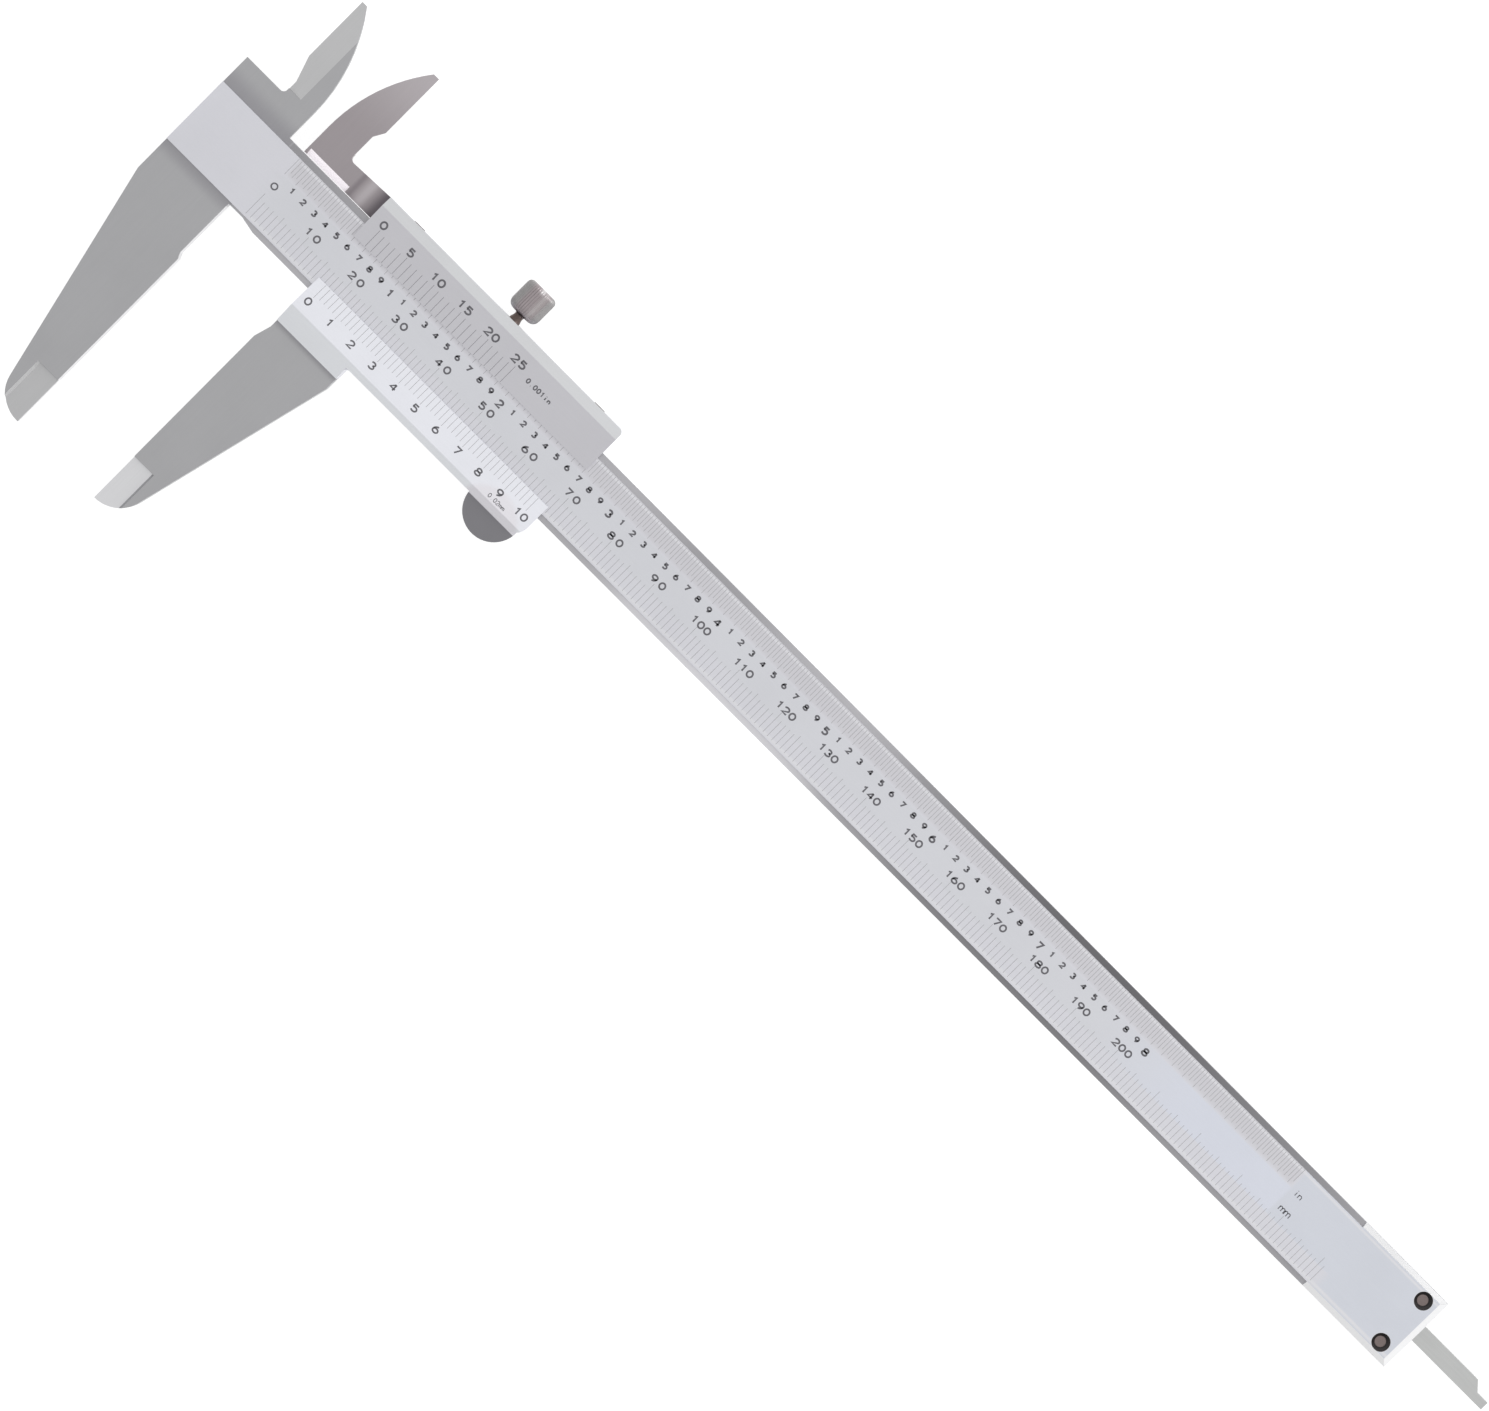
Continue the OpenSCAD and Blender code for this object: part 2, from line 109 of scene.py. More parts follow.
# Each glyph is 1 high and 0.64 wide, and is made of (points, closed) strokes
GLYPHS = {
    "0": [(oval(0.32, 0.5, 0.32, 0.5), True)],
    "1": [([(0.12, 0.76), (0.36, 1), (0.36, 0)], False)],
    "2": [(arc(0.32, 0.7, 0.3, 0.3, 165, -30) + [(0, 0), (0.64, 0)], False)],
    "3": [
        (arc(0.3, 0.75, 0.27, 0.25, 150, -80), False),
        (arc(0.3, 0.27, 0.32, 0.27, 80, -150), False),
    ],
    "4": [([(0.46, 0), (0.46, 1)], False), ([(0.42, 0.96), (0, 0.3), (0.64, 0.3)], False)],
    "5": [([(0.56, 1), (0.1, 1), (0.05, 0.56)], False), (arc(0.3, 0.33, 0.33, 0.33, 140, -140), False)],
    "6": [(oval(0.32, 0.31, 0.31, 0.31), True), (arc(0.62, 0.36, 0.6, 0.64, 180, 108, 5), False)],
    "7": [([(0, 1), (0.62, 1), (0.22, 0)], False)],
    "8": [(oval(0.32, 0.75, 0.26, 0.25), True), (oval(0.32, 0.26, 0.32, 0.26), True)],
    "9": [(oval(0.32, 0.69, 0.31, 0.31), True), (arc(0.02, 0.64, 0.6, 0.64, 0, -72, 5), False)],
    ".": [([(0.28, 0), (0.36, 0)], False)],
    "i": [([(0.32, 0), (0.32, 0.62)], False), ([(0.32, 0.86), (0.32, 0.98)], False)],
    "n": [([(0.05, 0), (0.05, 0.62)], False), (arc(0.3, 0.38, 0.25, 0.24, 180, 0) + [(0.55, 0)], False)],
    "m": [
        ([(-0.05, 0), (-0.05, 0.62)], False),
        (arc(0.12, 0.42, 0.17, 0.2, 180, 0) + [(0.29, 0)], False),
        (arc(0.46, 0.42, 0.17, 0.2, 180, 0) + [(0.63, 0)], False),
    ],
}
GLYPH_WIDTH = 0.64
INK_PROUD = 0.008 * MM                   # how far the ink stands above its face
INK_SUNK = 0.02 * MM                     # how far it reaches below the face
MITRE = 0.6                              # keeps the mitres of sharp corners short

# Sizes in metres, with the stretch as a factor of the width
Letters = namedtuple("Letters", "height advance width stretch")


class Ink:
    """Thin filled lines on a face whose height follows a plane: height(y) = z + slope * (y - y0)."""

    def __init__(self, y0, z, slope=0.0):
        self.y0, self.z, self.slope = y0, z, slope
        self.vertices, self.faces = [], []

    def height(self, y):
        return self.z + self.slope * (y - self.y0)

    def strip(self, left, right, closed=False):
        """A closed solid between a left and a right edge with as many points each."""
        first, count = len(self.vertices), len(left)
        for (xl, yl), (xr, yr) in zip(left, right):
            for x, y, lift in (
                (xl, yl, INK_PROUD),
                (xr, yr, INK_PROUD),
                (xr, yr, -INK_SUNK),
                (xl, yl, -INK_SUNK),
            ):
                self.vertices.append((x, y, self.height(y) + lift))
        for i in range(count if closed else count - 1):
            a = first + 4 * i
            b = first + 4 * ((i + 1) % count)
            for j in range(4):
                k = (j + 1) % 4
                self.faces.append((a + j, a + k, b + k, b + j))
        if not closed:
            last = first + 4 * (count - 1)
            self.faces.append((first + 3, first + 2, first + 1, first))
            self.faces.append((last, last + 1, last + 2, last + 3))

    def bar(self, x, y0, y1, width):
        """A line across the beam, from y0 up to y1."""
        half = width / 2
        low, high = min(y0, y1), max(y0, y1)
        self.strip([(x - half, low), (x - half, high)], [(x + half, low), (x + half, high)])

    def stroke(self, points, width, closed=False):
        """A line of one width through the points, with mitred corners."""
        left, right = [], []
        count = len(points)
        for i, (x, y) in enumerate(points):
            before = points[i - 1] if closed or i > 0 else None
            after = points[(i + 1) % count] if closed or i < count - 1 else None
            ways = []
            for a, b in ((before, (x, y)), ((x, y), after)):
                if a is not None and b is not None:
                    way = Vector((b[0] - a[0], b[1] - a[1])).normalized()
                    ways.append(Vector((-way.y, way.x)))
            across = sum(ways, Vector((0.0, 0.0))).normalized()
            reach = width / 2 / max(MITRE, across.dot(ways[0]))
            left.append((x + across.x * reach, y + across.y * reach))
            right.append((x - across.x * reach, y - across.y * reach))
        self.strip(left, right, closed)

    def text(self, words, x, y, letters):
        """Digits or letters centred on x, with their middle at y."""
        across = letters.height * letters.stretch
        start = x - ((len(words) - 1) * letters.advance + GLYPH_WIDTH * across) / 2
        for i, letter in enumerate(words):
            left = start + i * letters.advance
            for points, closed in GLYPHS[letter]:
                placed = [(left + u * across, y + (v - 0.5) * letters.height) for u, v in points]
                self.stroke(placed, letters.width, closed)

    def build(self, name, material, body, slot):
        return make_object(name, self.vertices, self.faces, material, body)


# ---------- materials ----------


def srgb(*values):
    """Scene-linear colour of 8-bit display values."""
    scaled = [v / 255 for v in values]
    return tuple(v / 12.92 if v <= 0.04045 else ((v + 0.055) / 1.055) ** 2.4 for v in scaled)


class Paint:
    """A node material built step by step. Its positions are the CAD frame's, in metres."""

    def __init__(self, name, metallic=1.0):
        self.material = bpy.data.materials.new(name)
        self.material.use_nodes = True
        self.tree = self.material.node_tree
        self.shader = self.tree.nodes["Principled BSDF"]
        self.shader.inputs["Metallic"].default_value = metallic
        coordinates = self.node("ShaderNodeTexCoord")
        self.place = coordinates.outputs["Object"]
        self.x, self.y, self.z = self.node("ShaderNodeSeparateXYZ", Vector=self.place).outputs
        normal = coordinates.outputs["Normal"]
        self.nx, self.ny, self.nz = self.node("ShaderNodeSeparateXYZ", Vector=normal).outputs

    def node(self, kind, **inputs):
        made = self.tree.nodes.new(kind)
        for name, value in inputs.items():
            self.connect(made.inputs[name], value)
        return made

    def connect(self, socket, value):
        if isinstance(value, bpy.types.NodeSocket):
            self.tree.links.new(value, socket)
        else:
            socket.default_value = value

    def math(self, operation, a, b):
        made = self.tree.nodes.new("ShaderNodeMath")
        made.operation = operation
        self.connect(made.inputs[0], a)
        self.connect(made.inputs[1], b)
        return made.outputs[0]

    def rise(self, value, start, end):
        """0 below start and 1 above end, and smooth between them. Start may be above end."""
        made = self.tree.nodes.new("ShaderNodeMapRange")
        made.interpolation_type = "SMOOTHSTEP"
        falls = start > end
        made.inputs["From Min"].default_value = min(start, end)
        made.inputs["From Max"].default_value = max(start, end)
        made.inputs["To Min"].default_value = float(falls)
        made.inputs["To Max"].default_value = float(not falls)
        self.connect(made.inputs["Value"], value)
        return made.outputs[0]

    def band(self, value, low, high, soft):
        """1 between low and high, falling to 0 over soft on both sides."""
        up = self.rise(value, low - soft / 2, low + soft / 2)
        return self.math("MULTIPLY", up, self.rise(value, high + soft / 2, high - soft / 2))

    def either(self, a, b):
        return self.math("MAXIMUM", a, b)

    def opposite(self, mask):
        return self.math("SUBTRACT", 1.0, mask)

    def all_of(self, *masks):
        product = masks[0]
        for mask in masks[1:]:
            product = self.math("MULTIPLY", product, mask)
        return product

    def mix(self, factor, a, b):
        made = self.tree.nodes.new("ShaderNodeMix")
        made.data_type = "RGBA"
        self.connect(made.inputs[0], factor)
        for socket, value in ((made.inputs[6], a), (made.inputs[7], b)):
            self.connect(socket, value if isinstance(value, bpy.types.NodeSocket) else (*value, 1.0))
        return made.outputs[2]

    def scale_colour(self, colour, factor):
        """The colour multiplied by a number that varies over the surface."""
        made = self.tree.nodes.new("ShaderNodeVectorMath")
        made.operation = "SCALE"
        self.connect(made.inputs[0], colour if isinstance(colour, bpy.types.NodeSocket) else tuple(colour))
        self.connect(made.inputs["Scale"], factor)
        return made.outputs[0]

    def noise(self, sizes, detail=2.0, roughness=0.5, shift=0.0):
        """Noise from 0 to 1 whose grains have these sizes along X, Y and Z, in metres."""
        stretched = self.node("ShaderNodeMapping", Vector=self.place)
        stretched.inputs["Location"].default_value = (shift, 1.7 * shift, 2.3 * shift)
        stretched.inputs["Scale"].default_value = tuple(1 / s for s in sizes)
        made = self.node("ShaderNodeTexNoise", Vector=stretched.outputs[0])
        made.inputs["Scale"].default_value = 1.0
        made.inputs["Detail"].default_value = detail
        made.inputs["Roughness"].default_value = roughness
        return made.outputs[0]

    def spread(self, value, low, high):
        """Moves a 0 to 1 value to the span from low to high."""
        made = self.tree.nodes.new("ShaderNodeMapRange")
        self.connect(made.inputs["Value"], value)
        made.inputs["To Min"].default_value = low
        made.inputs["To Max"].default_value = high
        return made.outputs[0]

    def share(self, value, low, high):
        """0 at low and 1 at high, and even between them."""
        made = self.tree.nodes.new("ShaderNodeMapRange")
        self.connect(made.inputs["Value"], value)
        made.inputs["From Min"].default_value = low
        made.inputs["From Max"].default_value = high
        return made.outputs[0]

    def finish(self, colour, roughness, relief=None, depth=0.0):
        """Connects the shader. The relief is a height from 0 to 1 and its depth is in metres."""
        self.connect(self.shader.inputs["Base Color"], colour)
        self.connect(self.shader.inputs["Roughness"], roughness)
        if relief is not None:
            bump = self.node("ShaderNodeBump", Height=relief)
            bump.inputs["Distance"].default_value = depth
            bump.inputs["Strength"].default_value = 1.0
            self.connect(self.shader.inputs["Normal"], bump.outputs[0])
        return self.material


def shape_curve(node, points):
    """Gives a curve node these points."""
    curve = node.mapping.curves[0]
    curve.points[0].location = points[0]
    curve.points[1].location = points[-1]
    for place in points[1:-1]:
        curve.points.new(*place)
    node.mapping.update()


def layered(paint, base, layers):
    """The base colour with (mask, colour) layers laid over it in turn."""
    colour = base
    for mask, over in layers:
        colour = paint.mix(mask, colour, over)
    return colour


SATIN = srgb(224, 224, 230)              # satin chrome of the graduated faces
SATIN_BAND = srgb(221, 222, 227)         # the smoother band that carries the numbers
SATIN_BAND_TAIL = srgb(223, 226, 236)
SATIN_TAIL = srgb(218, 221, 229)
GROUND = srgb(180, 180, 182)             # ground faces of the jaws
# Painted shade on the jaws beside the raised beam and at the moving jaw's root
GROUND_SHADE = srgb(163, 162, 166)
POLISHED = srgb(214, 214, 216)           # lapped faces
# Darkest and lightest painted reflections in the steps along the beam
STEP_REFLECTION_DARK = srgb(95, 94, 97)
STEP_REFLECTION_LIGHT = srgb(226, 225, 229)
TIP = srgb(196, 196, 197)
MOVING_TIP = srgb(226, 226, 228)
KNIFE = srgb(205, 205, 206)
# Painted highlight on the tail's lower bevels and painted shade on its upper bevels
TAIL_BEVEL_HIGHLIGHT = srgb(250, 250, 251)
UPPER_TAIL_BEVEL_SHADE = srgb(190, 190, 191)
# Painted shade in the countersinks of the stop screws
COUNTERSINK_SHADE = srgb(72, 70, 71)
# Painted highlight along the rims of the steps
RIM_HIGHLIGHT = srgb(230, 230, 234)
INCH_ZONE = srgb(217, 216, 221)
# The slider's slopes and chamfers are one satin chrome, painted shaded on the upper side and lit on the lower
# side
UPPER_SLOPE_SHADED = srgb(215, 214, 219)
LOWER_SLOPE_LIT = srgb(235, 236, 242)
UPPER_CHAMFER_SHADED = srgb(209, 210, 212)
LOWER_CHAMFER_LIT = srgb(241, 243, 247)
THUMB = srgb(137, 136, 140)
WARM_STEEL = srgb(168, 161, 164)
# Painted highlight on the moving jaw's blade: lighter towards its tip, and a glint on its ramp
WARM_HIGHLIGHT = srgb(190, 184, 187)
# Painted highlight on the moving jaw's ledge, given as a faint glow
LEDGE_HIGHLIGHT = srgb(250, 244, 248)
LEDGE_GLOW = 0.4
# Painted shade on the ramp of the moving jaw, darkest by the slider's wall
RAMP_WALL_SHADE = srgb(110, 104, 109)
RAMP_EDGE_SHADE = srgb(146, 139, 143)
THUMB_ROOT = srgb(231, 229, 234)         # where the thumb rest is blended into the frame
CLAMP_HEAD = srgb(166, 157, 159)
# Painted shade on the knob's sides, and a painted glint and highlight on its crown
CLAMP_SIDE_SHADE = srgb(166, 164, 164)
CLAMP_GLINT = srgb(190, 185, 185)
CLAMP_CROWN_HIGHLIGHT = srgb(226, 224, 224)
CLAMP_NECK = srgb(104, 92, 88)
WHITE = (1.0, 1.0, 1.0)

# Painted reflections in the two steps along the beam: places from 0 at the jaws to 1 near the tail, and
# lightness
LOWER_STEP_REFLECTION = (
    (0, 0.47), (0.05, 0.62), (0.3, 0.58), (0.36, 0.9), (0.42, 0.98),
    (0.48, 0.93), (0.55, 0.5), (0.72, 0.22), (0.86, 0.42), (1, 0.46),
)
UPPER_STEP_REFLECTION = (
    (0, 0.38), (0.3, 0.61), (0.38, 0.47), (0.48, 0.66),
    (0.58, 0.37), (0.74, 0.1), (0.86, 0.22), (1, 0.55),
)
TONE_END = 260 * MM                      # where place 1 is

# Depths of the relief of the finishes
GRAIN_DEPTH, BRUSHED_DEPTH, TURNED_DEPTH, INK_DEPTH = 0.0012 * MM, 0.001 * MM, 0.0015 * MM, 0.001 * MM


def satin_grain(paint):
    """Fine blasted grain with a faint lengthwise draw."""
    blasted = paint.noise((0.12 * MM, 0.12 * MM, 0.12 * MM), detail=3)
    drawn = paint.noise((6 * MM, 0.16 * MM, 0.16 * MM), detail=2, shift=3.1)
    return paint.math("ADD", paint.math("MULTIPLY", blasted, 0.6), paint.math("MULTIPLY", drawn, 0.4))


def handling(paint, size=14 * MM):
    """Faint smudges left by handling, from 0 to 1."""
    return paint.rise(paint.noise((size, size, size), detail=4, roughness=0.6, shift=7.7), 0.35, 0.75)


def grain_and_shade(paint, ground_mask, shift):
    """Height, colour factor and roughness of satin chrome, and of ground steel where the mask is 1."""
    ground = paint.noise((0.1 * MM, 7 * MM, 0.1 * MM), detail=3, shift=shift)
    grain = paint.node("ShaderNodeMix", Factor=ground_mask, A=satin_grain(paint), B=ground).outputs[0]
    shade = paint.math("MULTIPLY", paint.spread(grain, 0.95, 1.05), paint.spread(handling(paint), 1.01, 0.98))
    smear = paint.math("MULTIPLY", handling(paint, 9 * MM), 0.06)
    return grain, shade, paint.math("ADD", paint.spread(grain, 0.34, 0.46), smear)


def step_colour(paint, upper):
    """Colour of the steps with painted reflections, darker and lighter along the beam. The mask is 1 on the
    upper step.
    """
    colours = []
    for points in (LOWER_STEP_REFLECTION, UPPER_STEP_REFLECTION):
        tone = paint.node("ShaderNodeFloatCurve", Value=paint.share(paint.x, 0, TONE_END))
        shape_curve(tone, points)
        colours.append(paint.mix(tone.outputs[0], STEP_REFLECTION_DARK, STEP_REFLECTION_LIGHT))
    return paint.mix(upper, *colours)


def beam_material():
    paint = Paint("beam_finish")
    x, y, z = paint.x, paint.y, paint.z
    lowered = paint.rise(z, BEAM_Z - 0.12 * MM, BEAM_Z - 0.2 * MM)
    up_facing = paint.rise(paint.nz, 0.5, 0.8)
    on_head = paint.rise(x, 0.3 * MM, -0.3 * MM)
    outside_jaw = paint.rise(y, BEAM_LOW + STEP_LOW + 0.05 * MM, BEAM_LOW + STEP_LOW - 0.05 * MM)
    inside_jaw = paint.rise(y, BEAM_HIGH - STEP_HIGH - 0.05 * MM, BEAM_HIGH - STEP_HIGH + 0.05 * MM)
    beyond = paint.rise(y, BEAM_HIGH - 0.1 * MM, BEAM_HIGH + 0.1 * MM)
    below = paint.rise(y, BEAM_LOW + 0.05 * MM, BEAM_LOW - 0.05 * MM)
    jaws = paint.either(paint.either(beyond, below), paint.all_of(lowered, on_head))
    step = paint.all_of(
        lowered,
        up_facing,
        paint.rise(x, -0.2 * MM, 0.2 * MM),
        paint.band(y, BEAM_LOW, BEAM_HIGH, 0.1 * MM),
    )
    band = paint.all_of(
        paint.band(y, BEAM_LOW + 4.4 * MM, BEAM_HIGH - 4.9 * MM, 0.4 * MM),
        paint.rise(x, 0, 5 * MM),
    )
    past_inches = paint.all_of(
        paint.rise(x, INCH_LINES_END, INCH_LINES_END + 0.8 * MM),
        paint.rise(y, BEAM_LOW + 4.2 * MM, BEAM_LOW + 4.6 * MM),
    )
    past_scales = paint.either(past_inches, paint.rise(x, METRIC_LINES_END, METRIC_LINES_END + 2 * MM))
    tail_face = paint.all_of(past_scales, paint.rise(paint.nz, 0.98, 0.99))
    inch_zone = paint.all_of(
        paint.rise(y, BEAM_HIGH - 4.9 * MM, BEAM_HIGH - 4.1 * MM),
        paint.band(x, 3 * MM, INCH_LINES_END, 0.6 * MM),
    )
    rim_low, rim_high = BEAM_LOW + STEP_LOW, BEAM_HIGH - STEP_HIGH
    # Painted highlight along the rims of the two steps
    edge_highlight = paint.either(
        paint.band(y, rim_low + 0.3 * MM, rim_low + 0.8 * MM, 0.4 * MM),
        paint.band(y, rim_high - 0.6 * MM, rim_high - 0.2 * MM, 0.3 * MM),
    )
    edge_highlight = paint.all_of(edge_highlight, paint.rise(x, 3 * MM, 4 * MM))
    shadow_low = paint.all_of(jaws, outside_jaw, paint.rise(y, BEAM_LOW - 1.8 * MM, BEAM_LOW + 0.6 * MM))
    shadow_high = paint.all_of(jaws, inside_jaw, paint.rise(y, BEAM_HIGH + 3 * MM, BEAM_HIGH - 0.5 * MM))
    tip = paint.all_of(
        below,
        up_facing,
        paint.rise(z, BEAM_Z - STEP - 0.35 * MM, BEAM_Z - STEP - 0.6 * MM),
    )
    bevel = paint.all_of(beyond, paint.band(paint.nz, 0.9, 0.99, 0.02), paint.rise(paint.nx, -0.1, -0.2))
    # Painted highlight on the tail's lower bevels and painted shade on its upper ones
    tail = paint.all_of(paint.band(paint.nz, 0.78, 0.985, 0.02), paint.rise(x, 250 * MM, 252 * MM))
    upper_tail = paint.all_of(tail, paint.rise(paint.ny, 0.1, 0.2))
    # Painted shade in the countersinks of the stop screws
    screw_mouth = paint.all_of(
        paint.band(paint.nz, 0.5, 0.78, 0.04),
        paint.band(x, BEAM_END - 5.5 * MM, BEAM_END - 1.3 * MM, 0.1 * MM),
    )
    # Painted highlight on the jaw's sloped faces that face +X
    inner_ramp_highlight = paint.all_of(below, paint.band(paint.nz, 0.3, 0.6, 0.1), paint.rise(paint.nx, 0.4, 0.6))
    lapped = paint.rise(paint.nx, 0.8, 0.95)
    colour = layered(paint, SATIN, [
        (inch_zone, INCH_ZONE),
        (band, paint.mix(paint.rise(x, 195 * MM, 220 * MM), SATIN_BAND, SATIN_BAND_TAIL)),
        (tail_face, SATIN_TAIL),
        (edge_highlight, RIM_HIGHLIGHT),
        (step, step_colour(paint, inside_jaw)),
        (jaws, GROUND),
        (shadow_low, GROUND_SHADE),
        (shadow_high, GROUND_SHADE),
        (tip, TIP),
        (bevel, KNIFE),
        (tail, TAIL_BEVEL_HIGHLIGHT),
        (upper_tail, UPPER_TAIL_BEVEL_SHADE),
        (screw_mouth, COUNTERSINK_SHADE),
        (paint.all_of(below, lapped), POLISHED),
        (inner_ramp_highlight, WHITE),
    ])
    grain, shade, rough = grain_and_shade(paint, jaws, 1.3)
    rough = paint.math("SUBTRACT", rough, paint.math("MULTIPLY", lapped, 0.18))
    return paint.finish(paint.scale_colour(colour, shade), rough, grain, GRAIN_DEPTH)


def slider_material():
    paint = Paint("slider_finish")
    x, y, z = paint.x, paint.y, paint.z
    jaw = paint.rise(y, BEAM_LOW - 7.17 * MM, BEAM_LOW - 7.23 * MM)
    blade = paint.rise(x, OPENING + 0.05 * MM, OPENING - 0.05 * MM)
    thumb = paint.all_of(
        paint.rise(y, BEAM_LOW - 4.85 * MM, BEAM_LOW - 4.95 * MM),
        paint.rise(x, SLIDER_END - 12 * MM, SLIDER_END - 11.5 * MM),
    )
    from_thumb = paint.node("ShaderNodeVectorMath")
    from_thumb.operation = "DISTANCE"
    paint.connect(from_thumb.inputs[0], paint.node("ShaderNodeCombineXYZ", X=x, Y=y).outputs[0])
    from_thumb.inputs[1].default_value = (SLIDER_END - 6.2 * MM, BEAM_LOW - 6.9 * MM, 0)
    thumb_root = paint.all_of(
        paint.rise(from_thumb.outputs["Value"], 6.7 * MM, 5.4 * MM),
        paint.rise(paint.nz, 0.8, 0.9),
    )
    high = paint.rise(y, BEAM_HIGH - 4.1 * MM, BEAM_HIGH - 4.0 * MM)
    low = paint.rise(y, BEAM_LOW + 2.9 * MM, BEAM_LOW + 2.8 * MM)
    # Painted light: the upper slope and chamfer shaded and the lower ones lit
    upper = paint.all_of(high, paint.rise(paint.ny, -0.05, -0.12), paint.rise(paint.nz, 0.5, 0.8))
    lower = paint.all_of(low, paint.rise(paint.ny, 0.05, 0.12), paint.rise(paint.nz, 0.5, 0.8))
    upper_chamfer = paint.all_of(high, paint.band(paint.ny, 0.26, 0.4, 0.06))
    lower_chamfer = paint.all_of(low, paint.band(paint.ny, -0.4, -0.26, 0.06))
    tip = paint.all_of(
        jaw,
        paint.rise(z, BEAM_Z - STEP - 0.35 * MM, BEAM_Z - STEP - 0.6 * MM),
        paint.rise(paint.nz, 0.6, 0.9),
    )
    ledge = paint.all_of(blade, paint.band(paint.nz, 0.3, 0.97, 0.05), paint.rise(x, 11.6 * MM, 11.4 * MM))
    # Painted highlight: the blade lighter towards its tip
    lit_blade_tip = paint.all_of(blade, paint.rise(y, BEAM_HIGH + 8 * MM, BEAM_HIGH + 24 * MM))
    ramp_shade = paint.all_of(blade, paint.band(x, 11.5 * MM, 12.4 * MM, 0.8 * MM))
    ramp_glint = paint.all_of(blade, paint.band(x, 13.2 * MM, 14.6 * MM, 1.2 * MM))
    # Painted shade darkening the ramp towards the slider's wall
    shade_by_wall = paint.all_of(blade, paint.rise(x, 14.6 * MM, OPENING - 0.4 * MM))
    root_shadow = paint.all_of(jaw, paint.rise(y, BEAM_LOW - 8.5 * MM, BEAM_LOW - 7.2 * MM))
    colour = layered(paint, SATIN, [
        (upper, UPPER_SLOPE_SHADED),
        (lower, LOWER_SLOPE_LIT),
        (upper_chamfer, UPPER_CHAMFER_SHADED),
        (lower_chamfer, LOWER_CHAMFER_LIT),
        (jaw, GROUND),
        (root_shadow, GROUND_SHADE),
        (thumb_root, THUMB_ROOT),
        (thumb, THUMB),
        (blade, WARM_STEEL),
        (lit_blade_tip, WARM_HIGHLIGHT),
        (ramp_shade, RAMP_EDGE_SHADE),
        (ramp_glint, WARM_HIGHLIGHT),
        (ledge, LEDGE_HIGHLIGHT),
        (shade_by_wall, RAMP_WALL_SHADE),
        (tip, MOVING_TIP),
    ])
    grain, shade, rough = grain_and_shade(paint, paint.either(jaw, blade), 4.3)
    # The ledge is not metallic and glows faintly, as a painted highlight
    paint.connect(paint.shader.inputs["Metallic"], paint.opposite(ledge))
    paint.shader.inputs["Emission Color"].default_value = (*LEDGE_HIGHLIGHT, 1)
    paint.connect(paint.shader.inputs["Emission Strength"], paint.math("MULTIPLY", ledge, LEDGE_GLOW))
    return paint.finish(paint.scale_colour(colour, shade), rough, grain, GRAIN_DEPTH)


def brushed_material(name, colour, roughness):
    """Steel ground along X."""
    paint = Paint(name)
    lines = paint.noise((6 * MM, 0.12 * MM, 0.12 * MM), detail=3)
    shade = paint.math("MULTIPLY", paint.spread(lines, 0.9, 1.08), paint.spread(handling(paint), 1.0, 0.95))
    rough = paint.spread(lines, roughness - 0.05, roughness + 0.08)
    return paint.finish(paint.scale_colour(colour, shade), rough, lines, BRUSHED_DEPTH)


def mottled(paint, colour, smoothest, roughest):
    """Finishes a paint with the fine mottle of turned steel."""
    mottle = paint.noise((0.25 * MM, 0.25 * MM, 0.25 * MM), detail=4, roughness=0.6)
    shaded = paint.scale_colour(colour, paint.spread(mottle, 0.78, 1.2))
    return paint.finish(shaded, paint.spread(mottle, smoothest, roughest), mottle, TURNED_DEPTH)


def turned_material(name, colour, roughness):
    """Turned or blackened small steel parts."""
    return mottled(Paint(name), colour, roughness - 0.08, roughness + 0.1)


def clamp_material():
    """The knurled head with painted reflections: shade on its sides, a glint, and a highlight on its crown,
    above a darker neck and thread.
    """
    paint = Paint("clamp_finish")
    top = clamp_high.y
    head = paint.rise(paint.y, top - KNOB_H - 0.2 * MM, top - KNOB_H + 0.2 * MM)
    across = paint.math("SUBTRACT", paint.x, KNOB_X)
    side_shade = paint.all_of(head, paint.opposite(paint.band(across, -1.6 * MM, 1.9 * MM, 0.9 * MM)))
    glint = paint.all_of(head, paint.band(across, 0.9 * MM, 1.4 * MM, 1.0 * MM))
    crown_highlight = paint.all_of(
        paint.rise(paint.y, top - 1.3 * MM, top - 0.3 * MM),
        paint.band(across, 0, 0.5 * MM, 0.9 * MM),
    )
    colour = layered(paint, CLAMP_NECK, [
        (head, CLAMP_HEAD),
        (side_shade, CLAMP_SIDE_SHADE),
        (glint, CLAMP_GLINT),
        (crown_highlight, CLAMP_CROWN_HIGHLIGHT),
    ])
    return mottled(paint, colour, 0.3, 0.46)


def ink_material(name, colour):
    """Dark filling of the etched lines, slightly uneven."""
    paint = Paint(name, metallic=0.0)
    worn = paint.noise((0.7 * MM, 0.7 * MM, 0.7 * MM), detail=3, roughness=0.6)
    shaded = paint.scale_colour(colour, paint.spread(worn, 0.75, 1.3))
    return paint.finish(shaded, paint.spread(worn, 0.5, 0.7), worn, INK_DEPTH)


